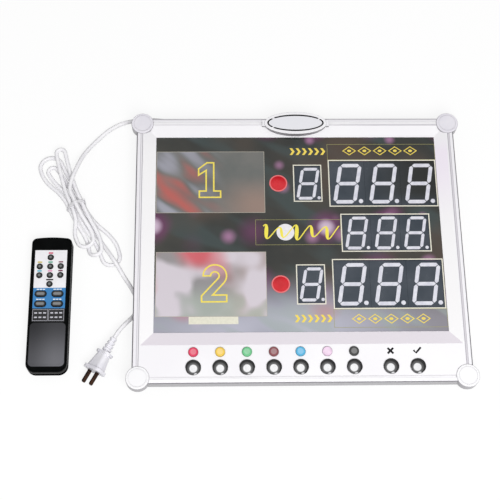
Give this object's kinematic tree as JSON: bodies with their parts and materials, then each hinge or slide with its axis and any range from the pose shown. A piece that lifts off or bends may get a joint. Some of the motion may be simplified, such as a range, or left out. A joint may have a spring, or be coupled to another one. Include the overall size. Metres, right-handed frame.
{
  "type": "electronic scoreboard",
  "caption": "Flat electronic scoreboard with slanted digit windows, a row of domed keys, round corner caps, a bundled mains lead and a loose infrared remote.",
  "frame": {"origin": "middle of the flat back face that hangs on the wall or lies on the table", "axes": "+Z out of the display, +Y towards the top edge, +X to the right as the display is read"},
  "size_m": [0.5657, 0.388, 0.037],
  "materials": {
    "white_plastic": "satin",
    "silver_rail": "satin",
    "panel_print": "gloss",
    "module_dark": "matte",
    "segment_pale": "satin",
    "lens_red": "gloss",
    "board_green": "satin",
    "switch_black": "matte",
    "dot_colours": "gloss",
    "iron": "matte",
    "steel": "satin",
    "cord_white": "satin",
    "tie_white": "satin",
    "plug_white": "satin",
    "blade_brass": "satin",
    "key_chrome": "polished",
    "remote_black": "satin",
    "remote_face": "satin",
    "key_rubber": "matte",
    "window_dark": "gloss",
    "cell_metal": "satin"
  },
  "bodies": {
    "case": {"back_cover": "white_plastic", "bottom_rail": "silver_rail", "case_screws": "steel", "colour_dots": "dot_colours", "cord_gland": "cord_white", "cord_hank": "cord_white", "cord_lead": "cord_white", "cord_tail": "cord_white", "cord_tie": "tie_white", "corner_caps": "white_plastic", "display_board": "board_green", "display_panel": "panel_print", "front_bezel": "white_plastic", "indicator_lenses": "lens_red", "key_board": "board_green", "key_switches": "switch_black", "left_rail": "silver_rail", "oval_badge": "white_plastic", "plug_body": "plug_white", "plug_pins": "blade_brass", "right_rail": "silver_rail", "score_digits": "module_dark", "score_segments": "segment_pale", "small_digits": "module_dark", "small_segments": "segment_pale", "top_rail": "silver_rail", "transformer": "iron"},
    "remote": {"remote_upper_shell": "remote_black", "remote_lower_shell": "remote_black", "remote_faceplate": "remote_face", "remote_key_mat": "key_rubber", "remote_circuit_board": "board_green", "remote_infrared_window": "window_dark", "remote_batteries": "cell_metal", "remote_contacts": "steel"},
    "battery_door": {"remote_battery_door": "remote_black"},
    "red_key_cap": {"red_key": "key_chrome"},
    "yellow_key_cap": {"yellow_key": "key_chrome"},
    "green_key_cap": {"green_key": "key_chrome"},
    "brown_key_cap": {"brown_key": "key_chrome"},
    "blue_key_cap": {"blue_key": "key_chrome"},
    "pink_key_cap": {"pink_key": "key_chrome"},
    "black_key_cap": {"black_key": "key_chrome"},
    "cancel_key_cap": {"cancel_key": "key_chrome"},
    "confirm_key_cap": {"confirm_key": "key_chrome"},
    "remote_red_key_cap": {"remote_red_key": "key_rubber"},
    "remote_yellow_key_cap": {"remote_yellow_key": "key_rubber"},
    "remote_green_key_cap": {"remote_green_key": "key_rubber"},
    "remote_brown_key_cap": {"remote_brown_key": "key_rubber"},
    "remote_blue_key_cap": {"remote_blue_key": "key_rubber"},
    "remote_pink_key_cap": {"remote_pink_key": "key_rubber"},
    "remote_black_key_cap": {"remote_black_key": "key_rubber"},
    "remote_break_key_cap": {"remote_break_key": "key_rubber"},
    "remote_up_key_cap": {"remote_up_key": "key_rubber"},
    "remote_down_key_cap": {"remote_down_key": "key_rubber"},
    "remote_cancel_key_cap": {"remote_cancel_key": "key_rubber"},
    "remote_enter_key_cap": {"remote_enter_key": "key_rubber"}
  },
  "joints": [
    {"name": "red_key_press", "type": "slide", "parent": "case", "child": "red_key_cap", "axis": [0, 0, -1], "range_m": [0, 0.001], "stiffness_N_per_m": 600, "springref_m": -0.0005},
    {"name": "yellow_key_press", "type": "slide", "parent": "case", "child": "yellow_key_cap", "axis": [0, 0, -1], "range_m": [0, 0.001], "stiffness_N_per_m": 600, "springref_m": -0.0005},
    {"name": "green_key_press", "type": "slide", "parent": "case", "child": "green_key_cap", "axis": [0, 0, -1], "range_m": [0, 0.001], "stiffness_N_per_m": 600, "springref_m": -0.0005},
    {"name": "brown_key_press", "type": "slide", "parent": "case", "child": "brown_key_cap", "axis": [0, 0, -1], "range_m": [0, 0.001], "stiffness_N_per_m": 600, "springref_m": -0.0005},
    {"name": "blue_key_press", "type": "slide", "parent": "case", "child": "blue_key_cap", "axis": [0, 0, -1], "range_m": [0, 0.001], "stiffness_N_per_m": 600, "springref_m": -0.0005},
    {"name": "pink_key_press", "type": "slide", "parent": "case", "child": "pink_key_cap", "axis": [0, 0, -1], "range_m": [0, 0.001], "stiffness_N_per_m": 600, "springref_m": -0.0005},
    {"name": "black_key_press", "type": "slide", "parent": "case", "child": "black_key_cap", "axis": [0, 0, -1], "range_m": [0, 0.001], "stiffness_N_per_m": 600, "springref_m": -0.0005},
    {"name": "cancel_key_press", "type": "slide", "parent": "case", "child": "cancel_key_cap", "axis": [0, 0, -1], "range_m": [0, 0.001], "stiffness_N_per_m": 600, "springref_m": -0.0005},
    {"name": "confirm_key_press", "type": "slide", "parent": "case", "child": "confirm_key_cap", "axis": [0, 0, -1], "range_m": [0, 0.001], "stiffness_N_per_m": 600, "springref_m": -0.0005},
    {"name": "remote_lift", "type": "slide", "parent": "case", "child": "remote", "axis": [0, 0, 1], "range_m": [0, 0.12]},
    {"name": "remote_red_key_press", "type": "slide", "parent": "remote", "child": "remote_red_key_cap", "axis": [0, 0, -1], "range_m": [0, 0.0008], "stiffness_N_per_m": 300, "springref_m": -0.0005},
    {"name": "remote_yellow_key_press", "type": "slide", "parent": "remote", "child": "remote_yellow_key_cap", "axis": [0, 0, -1], "range_m": [0, 0.0008], "stiffness_N_per_m": 300, "springref_m": -0.0005},
    {"name": "remote_green_key_press", "type": "slide", "parent": "remote", "child": "remote_green_key_cap", "axis": [0, 0, -1], "range_m": [0, 0.0008], "stiffness_N_per_m": 300, "springref_m": -0.0005},
    {"name": "remote_brown_key_press", "type": "slide", "parent": "remote", "child": "remote_brown_key_cap", "axis": [0, 0, -1], "range_m": [0, 0.0008], "stiffness_N_per_m": 300, "springref_m": -0.0005},
    {"name": "remote_blue_key_press", "type": "slide", "parent": "remote", "child": "remote_blue_key_cap", "axis": [0, 0, -1], "range_m": [0, 0.0008], "stiffness_N_per_m": 300, "springref_m": -0.0005},
    {"name": "remote_pink_key_press", "type": "slide", "parent": "remote", "child": "remote_pink_key_cap", "axis": [0, 0, -1], "range_m": [0, 0.0008], "stiffness_N_per_m": 300, "springref_m": -0.0005},
    {"name": "remote_black_key_press", "type": "slide", "parent": "remote", "child": "remote_black_key_cap", "axis": [0, 0, -1], "range_m": [0, 0.0008], "stiffness_N_per_m": 300, "springref_m": -0.0005},
    {"name": "remote_break_key_press", "type": "slide", "parent": "remote", "child": "remote_break_key_cap", "axis": [0, 0, -1], "range_m": [0, 0.0008], "stiffness_N_per_m": 300, "springref_m": -0.0005},
    {"name": "remote_up_key_press", "type": "slide", "parent": "remote", "child": "remote_up_key_cap", "axis": [0, 0, -1], "range_m": [0, 0.0008], "stiffness_N_per_m": 300, "springref_m": -0.0005},
    {"name": "remote_down_key_press", "type": "slide", "parent": "remote", "child": "remote_down_key_cap", "axis": [0, 0, -1], "range_m": [0, 0.0008], "stiffness_N_per_m": 300, "springref_m": -0.0005},
    {"name": "remote_cancel_key_press", "type": "slide", "parent": "remote", "child": "remote_cancel_key_cap", "axis": [0, 0, -1], "range_m": [0, 0.0008], "stiffness_N_per_m": 300, "springref_m": -0.0005},
    {"name": "remote_enter_key_press", "type": "slide", "parent": "remote", "child": "remote_enter_key_cap", "axis": [0, 0, -1], "range_m": [0, 0.0008], "stiffness_N_per_m": 300, "springref_m": -0.0005},
    {"name": "battery_door_slide", "type": "slide", "parent": "remote", "child": "battery_door", "axis": [0, -1, 0], "range_m": [0, 0.03]}
  ]
}
